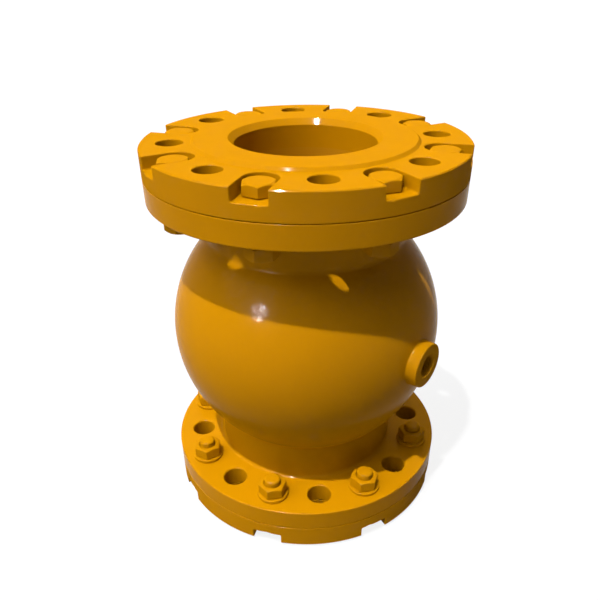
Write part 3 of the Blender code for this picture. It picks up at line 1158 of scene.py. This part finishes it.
@dataclass(frozen=True)
class ClampFasteners:
    """Hex bolts, washers and nuts that clamp the end flanges to the body flanges.

    Each edge ring is a pair of shares of the edge, down from the crown's cone and in from the hexagon. Each
    crown ring is a pair of lengths, in from the crown's radius and down from its top.
    """

    plates: Plates = Plates()
    flats: float = 0.019
    corner_rounding: float = 0.0006
    crown: float = 0.0088
    crown_slope: float = 30.0
    seat_radius: float = 0.0084
    seat_height: float = 0.0007
    edge: float = 0.0004
    edge_rings: tuple[Point, ...] = ((1.0, 0.0), (0.42, 0.13), (0.12, 0.45), (0.0, 1.0))
    crown_rings: tuple[Point, ...] = ((0.0001, 0.00006), (0.0005, 0.0))
    head_height: float = 0.0078
    nut_height: float = 0.0093
    washer_height: float = 0.0028
    washer_radius: float = 0.0118
    washer_clearance: float = 0.0005
    washer_edge: float = 0.0007
    washer_chamfer: Point = (0.0005, 0.0007)
    washer_chamfer_edge: float = 0.0003
    washer_fineness: float = 20.0
    washer_steps: int = 64
    shank: float = 0.006
    shank_top: float = 0.00552
    head_middle: float = 0.0054
    upper_stand_out: float = 0.0010
    lower_stand_out: float = 0.0040
    tip_radius: float = 0.0049
    tip_length: float = 0.0009
    tip_curve: float = 1.4
    tip_rings: Point = (0.0043, 0.00245)
    countersink: float = 0.0068
    countersink_depth: float = 0.0012
    thread_pitch: float = 0.00175
    thread_depth: float = 0.00032
    thread_lead: float = 0.001
    thread_runout: float = 0.003
    side_steps: int = 3
    corner_steps: int = 4
    thread_steps: int = 40
    thread_rows: int = 22
    head_sway: float = 24.0
    nut_sway: float = 9.0
    sway_step: float = 12.9
    upper_sway_start: float = 4.1
    lower_sway_start: float = 9.7

    def hexagon(self, inset: float = 0.0) -> list[Point]:
        """Outline of the hexagon with a rounded corner on +X.

        Args:
            inset: How far it is drawn in.

        Returns:
            The outline's points, as many for any inset.
        """
        rounding = max(self.corner_rounding - inset, SKIM)
        inner_corner = (self.flats / 2 - inset - rounding) / math.cos(math.pi / 6)
        arcs = []
        for angle in range(0, 360, 60):
            across, along, _ = around(inner_corner, 0.0, [math.radians(angle)])[0]
            arcs.append(arc((across, along), rounding, angle - 30, angle + 30, self.corner_steps))
        outline: list[Point] = []
        for points, following in zip(arcs, arcs[1:] + arcs[:1]):
            last, first = Vector(points[-1]), Vector(following[0])
            shares = [step / (self.side_steps + 1) for step in range(1, self.side_steps + 1)]
            outline += points + [tuple(last.lerp(first, share)) for share in shares]
        return outline

    def ring_at(self, shape: Shape, radius: float, height: float) -> list[int]:
        """Adds a circle of points in the directions of the hexagon's points.

        Args:
            shape: Where it goes.
            radius: Its radius.
            height: Its height.

        Returns:
            The points' numbers.
        """
        directions = [math.atan2(y, x) for x, y in self.hexagon()]
        return shape.ring(around(radius, height, directions))

    def hex_rings(self, shape: Shape, height: float) -> list[list[int]]:
        """Adds the rings of a hexagon on a low round face, with softened edges and a chamfered crown.

        Args:
            shape: Where they go.
            height: Height of the crown.

        Returns:
            The rings from the seat to the crown's flat disc.
        """
        slope = math.tan(math.radians(self.crown_slope))
        edge = self.edge
        rings = [
            self.ring_at(shape, self.seat_radius, 0.0),
            self.ring_at(shape, self.seat_radius, self.seat_height),
            shape.ring((x, y, self.seat_height) for x, y in self.hexagon(edge / 2)),
            shape.ring((x, y, self.seat_height + edge / 2) for x, y in self.hexagon()),
        ]
        for drop, inset in self.edge_rings:
            spots = []
            for x, y in self.hexagon(edge * inset):
                chamfer = max(0.0, math.hypot(x, y) - self.crown) * slope
                spots.append((x, y, height - chamfer - edge * drop))
            rings.append(shape.ring(spots))
        for inset, drop in self.crown_rings:
            rings.append(self.ring_at(shape, self.crown - inset, height - drop))
        return rings

    def bolt(self, stand_out: float) -> Shape:
        """Shape of a bolt, with the underside of its head at z = 0 and its shank down -Z.

        Args:
            stand_out: How far it stands out of its nut.

        Returns:
            The shape.
        """
        shape = Shape()
        rings = self.hex_rings(shape, self.head_height)
        hidden = self.ring_at(shape, self.head_middle, 0.0)
        shape.bridge([hidden, *rings])
        shape.cap(hidden)
        shape.cap(rings[-1])
        grip = self.plates.notch_floor - self.plates.body_inner + self.washer_height + self.nut_height
        end = -(grip + stand_out)
        angles = full_turn(self.thread_steps)
        loops = [shape.ring(around(self.shank_top, 0.0, angles))]
        for row in range(self.thread_rows + 1):
            height = end + (stand_out + self.thread_runout) * (1 - row / self.thread_rows)
            left = height - end
            narrowing = max(0.0, 1 - left / self.tip_length) ** self.tip_curve
            base = self.shank - (self.shank - self.tip_radius) * narrowing
            depth = self.thread_depth * min(1.0, left / self.thread_lead)
            spots: list[Spot] = []
            for angle in angles:
                wave = 0.5 - 0.5 * math.cos(math.tau * height / self.thread_pitch - angle)
                spots += around(base - depth * wave, height, [angle])
            loops.append(shape.ring(spots))
        loops += [shape.ring(around(radius, end - SKIM, angles)) for radius in self.tip_rings]
        shape.bridge(loops)
        shape.cap(loops[0])
        shape.cap(loops[-1])
        return shape

    def nut(self) -> Shape:
        """Shape of a nut with its seat at z = 0, upwards, with a countersunk hole.

        Returns:
            The shape.
        """
        shape = Shape()
        rings = self.hex_rings(shape, self.nut_height)
        hole = self.shank + SKIM
        for radius, height in (
            (self.countersink + 2 * SKIM, self.nut_height),
            (self.countersink, self.nut_height - SKIM),
            (hole, self.nut_height - self.countersink_depth),
            (hole, 0.0),
        ):
            rings.append(self.ring_at(shape, radius, height))
        shape.bridge(rings + rings[:1])
        return shape

    def washer(self) -> Shape:
        """Shape of a washer with its seat at z = 0, upwards, with rounded edges.

        Returns:
            The shape.
        """
        inner = self.shank + self.washer_clearance
        inset, foot = self.washer_chamfer
        corners = [
            Corner(inner, 0.0),
            Corner(self.washer_radius - inset, 0.0),
            Corner(self.washer_radius, foot, self.washer_chamfer_edge),
            Corner(self.washer_radius, self.washer_height, self.washer_edge),
            Corner(inner, self.washer_height),
        ]
        shape = Shape()
        shape.turn(rounded(corners, self.washer_fineness), self.washer_steps)
        return shape

    def build(self, finish: bpy.types.Material) -> None:
        """Builds every bolt, washer and nut of both ends.

        Args:
            finish: Their paint.
        """
        plates = self.plates
        upright = Matrix.Translation((0.0, 0.0, plates.notch_floor))
        downwards = Matrix.Rotation(math.pi, 4, "X")
        washer_place = Matrix.Translation((0.0, 0.0, plates.body_inner)) @ downwards
        nut_place = Matrix.Translation((0.0, 0.0, plates.body_inner - self.washer_height)) @ downwards
        ends = (
            (End.UPPER, self.upper_stand_out, self.upper_sway_start),
            (End.LOWER, self.lower_stand_out, self.lower_sway_start),
        )
        for end, stand_out, start in ends:
            kinds = (
                ("clamp_bolt", self.bolt(stand_out), upright, self.head_sway),
                ("clamp_washer", self.washer(), washer_place, 0.0),
                ("clamp_nut", self.nut(), nut_place, self.nut_sway),
            )
            for index in range(STATIONS):
                station = Matrix.Rotation(station_angle(index, True), 4, "Z")
                station = end.matrix @ station @ Matrix.Translation((plates.clamp_circle, 0.0, 0.0))
                for name, shape, place, sway in kinds:
                    node = f"{end.value}_{name}_{index + 1}"
                    wave = math.sin(self.sway_step * index + start + len(name))
                    turned = SEEN_TURNS.get(node, sway * wave)
                    turn = Matrix.Rotation(math.radians(turned), 4, "Z")
                    piece = shape.to_object(node + "_painted", station @ place @ turn)
                    dress(piece, finish, [node])


@dataclass(frozen=True)
class Sleeve:
    """Rubber sleeve: two clamped ends, and a middle that folds flat, drawn as four quarters."""

    bore: float = 0.048
    wall: float = 0.008
    lip_half_length: float = 0.070
    collar: float = 0.074
    collar_thickness: float = 0.0080
    collar_edge: float = 0.0006
    collar_fillet: float = 0.0012
    joint: float = 0.120
    steps: int = 128
    rows: int = 36
    edge_follow: float = 0.1
    side_follow: float = 0.8

    def end_profile(self) -> list[Point]:
        """Section of a clamped end.

        Returns:
            Points (radius, height from the middle of the valve).
        """
        outer = self.bore + self.wall
        under_collar = self.joint - self.collar_thickness
        return rounded(
            [
                Corner(self.bore, self.lip_half_length),
                Corner(self.bore, self.joint),
                Corner(self.collar, self.joint, self.collar_edge),
                Corner(self.collar, under_collar, self.collar_edge),
                Corner(outer, under_collar, self.collar_fillet),
                Corner(outer, self.lip_half_length),
            ]
        )

    def build_ends(self, finish: bpy.types.Material) -> None:
        """Builds the two clamped ends.

        Args:
            finish: Their rubber.
        """
        shape = Shape()
        shape.turn(self.end_profile(), self.steps)
        for end in End:
            piece = shape.to_object(f"sleeve_{end.value}_end_rubber", end.matrix)
            dress(piece, finish, [f"sleeve_{end.value}_end"])

    def quarter(self, rear: bool, upper: bool) -> Shape:
        """Shape of one quarter of the middle.

        Args:
            rear: Whether it is on the +Y side.
            upper: Whether it is above the middle.

        Returns:
            The shape, in place.
        """
        shape = Shape()
        half = self.steps // 2
        start = 0.0 if rear else math.pi
        angles = [start + math.pi * index / half for index in range(half + 1)]
        top = self.lip_half_length if upper else -self.lip_half_length
        outer = self.bore + self.wall
        loops = []
        for row in range(self.rows + 1):
            height = MIDDLE + top * row / self.rows
            inside = around(self.bore, height, reversed(angles))
            loops.append(shape.ring(around(outer, height, angles) + inside))
        shape.bridge(loops)
        shape.cap(loops[0])
        shape.cap(loops[-1])
        return shape

    def build_lips(self, finish: bpy.types.Material) -> None:
        """Builds the four quarters of the middle.

        Args:
            finish: Their rubber.
        """
        for rear in (True, False):
            node = "sleeve_rear_lip" if rear else "sleeve_front_lip"
            for upper in (True, False):
                name = f"{node}_{'upper' if upper else 'lower'}_half"
                piece = self.quarter(rear, upper).to_object(name)
                smooth(piece)
                piece.data.materials.append(finish)
                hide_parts(node)
                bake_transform(piece)


@dataclass(frozen=True)
class Lamp:
    """A soft lamp so far away that it lights everything alike.

    Its level is the share of a white surface's brightness that it gives. Its spread is its apparent width,
    which softens the shadows, and its azimuth and elevation are its direction, all three in degrees.
    """

    name: str
    level: float
    spread: float
    azimuth: float
    elevation: float
    shine: Shine = Shine.BOTH

    def build(self) -> None:
        """Adds the lamp to the scene."""
        data = bpy.data.lights.new(self.name, "SUN")
        data.angle = math.radians(self.spread)
        data.energy = self.level * math.pi
        lamp = bpy.data.objects.new(self.name, data)
        lamp.visible_diffuse, lamp.visible_glossy = self.shine.value
        bpy.context.scene.collection.objects.link(lamp)
        around, up = math.radians(self.azimuth), math.radians(self.elevation)
        away = Vector((math.cos(up) * math.cos(around), math.cos(up) * math.sin(around), math.sin(up)))
        lamp.location = Vector((0.0, 0.0, MIDDLE)) + away
        lamp.rotation_euler = away.to_track_quat("Z", "Y").to_euler()
        LOG.info("lamp %s", self.name)


@dataclass(frozen=True)
class Studio:
    """Plain pale floor, soft lamps, pale surroundings and the camera."""

    floor_size: float = 30.0
    floor_colour: float = 0.16
    floor_roughness: float = 0.9
    floor_gloss: float = 0.1
    lift: float = 0.85
    lamps: tuple[Lamp, ...] = (
        Lamp("key", 0.64, 1.5, -86.0, 70.0),
        Lamp("fill", 0.37, 50.0, -122.0, 44.0),
        Lamp("top", 0.12, 60.0, -10.0, 86.0),
        Lamp("back", 0.42, 60.0, 132.0, 16.0, Shine.PLAIN),
        Lamp("glint", 6.5, 1.5, -86.0, 70.0, Shine.GLINT),
        Lamp("sparkle", 1.7, 13.0, -95.0, 27.0, Shine.GLINT),
    )
    surroundings: float = 0.035
    camera_place: Spot = (0.26298, -0.32865, 0.37934)
    camera_turn: Spot = (56.129, 0.432, 39.070)
    lens: float = 36.472
    sensor: float = 36.0
    shift: float = 0.10547
    nearest_seen: float = 0.01

    def build_floor(self) -> None:
        """Lays the pale floor, lifted to white for the camera, with the valve's shadow kept."""
        shape = Shape()
        half = self.floor_size / 2
        shape.cap(shape.ring(((-half, -half, 0.0), (half, -half, 0.0), (half, half, 0.0), (-half, half, 0.0))))
        floor = shape.to_object("floor")
        material, sheet, inputs = new_material("pale_floor", self.floor_gloss)
        inputs["Base Color"].default_value = (self.floor_colour,) * 3 + (1.0,)
        inputs["Roughness"].default_value = self.floor_roughness
        inputs["Emission Color"].default_value = (1.0, 1.0, 1.0, 1.0)
        seen = self.background_rays(sheet)
        sheet.feed(inputs["Emission Strength"], sheet.compute("MULTIPLY", seen, self.lift))
        floor.data.materials.append(material)

    def background_rays(self, sheet: NodeSheet) -> bpy.types.NodeSocket:
        """Picks out the rays that see the background.

        Args:
            sheet: The node tree.

        Returns:
            1 for camera, glossy and transmission rays, else 0.
        """
        rays = sheet.add("ShaderNodeLightPath").outputs
        seen = sheet.compute("MAXIMUM", rays["Is Camera Ray"], rays["Is Glossy Ray"])
        return sheet.compute("MAXIMUM", seen, rays["Is Transmission Ray"])

    def build_world(self) -> None:
        """Makes the surroundings: white where they are seen, dimmer as light."""
        world = bpy.data.worlds.new("surroundings")
        world.use_nodes = True
        bpy.context.scene.world = world
        sheet = NodeSheet(world.node_tree)
        background = world.node_tree.nodes["Background"]
        background.inputs["Color"].default_value = (1.0, 1.0, 1.0, 1.0)
        strength = sheet.ramp(self.background_rays(sheet), 0.0, 1.0, self.surroundings, 1.0)
        sheet.feed(background.inputs["Strength"], strength)

    def build_camera(self) -> None:
        """Sets the camera at the photograph's viewing angle."""
        data = bpy.data.cameras.new("camera")
        data.lens = self.lens
        data.sensor_width = self.sensor
        data.shift_y = self.shift
        data.clip_start = self.nearest_seen
        camera = bpy.data.objects.new("camera", data)
        camera.location = self.camera_place
        camera.rotation_euler = [math.radians(angle) for angle in self.camera_turn]
        bpy.context.scene.collection.objects.link(camera)
        bpy.context.scene.camera = camera

    def build(self) -> None:
        """Builds all of it."""
        bpy.context.scene.view_settings.view_transform = "Standard"
        self.build_camera()
        self.build_world()
        self.build_floor()
        for lamp in self.lamps:
            lamp.build()


def main() -> None:
    """Builds the studio and dresses the valve, one sub-assembly at a time."""
    logging.basicConfig(level=logging.INFO, format="%(message)s")
    Studio().build()
    machined = Enamel("enamel_on_machined_plate").material()
    cast = Enamel(
        "enamel_on_cast_shell", patch=40.0, under_gloss=0.008, thin_coat=0.004, thick_coat=0.032,
        coat_patch=2.0, peel_size=2.6, peel_depth=0.035, grain_size=1.3, grain_depth=0.09,
        wave_size=28.0, wave_depth=0.12, pit_share=0.16,
    ).material()
    fastened = Enamel(
        "enamel_on_fasteners", mottle=0.12, patch=14.0, roughness=0.24, peel_size=2.0, peel_depth=0.03,
        grain_size=0.8, grain_depth=0.006, wave_size=9.0, wave_depth=0.05, pit_share=0.05,
    ).material()
    rubber = Rubber("moulded_rubber").material()
    housing = Housing()
    housing.build(cast)
    housing.build_boss(machined)
    for end in End:
        EndFlange(end).build(machined)
    ClampFasteners().build(fastened)
    sleeve = Sleeve()
    sleeve.build_ends(rubber)
    sleeve.build_lips(rubber)


if __name__ == "__main__":
    main()
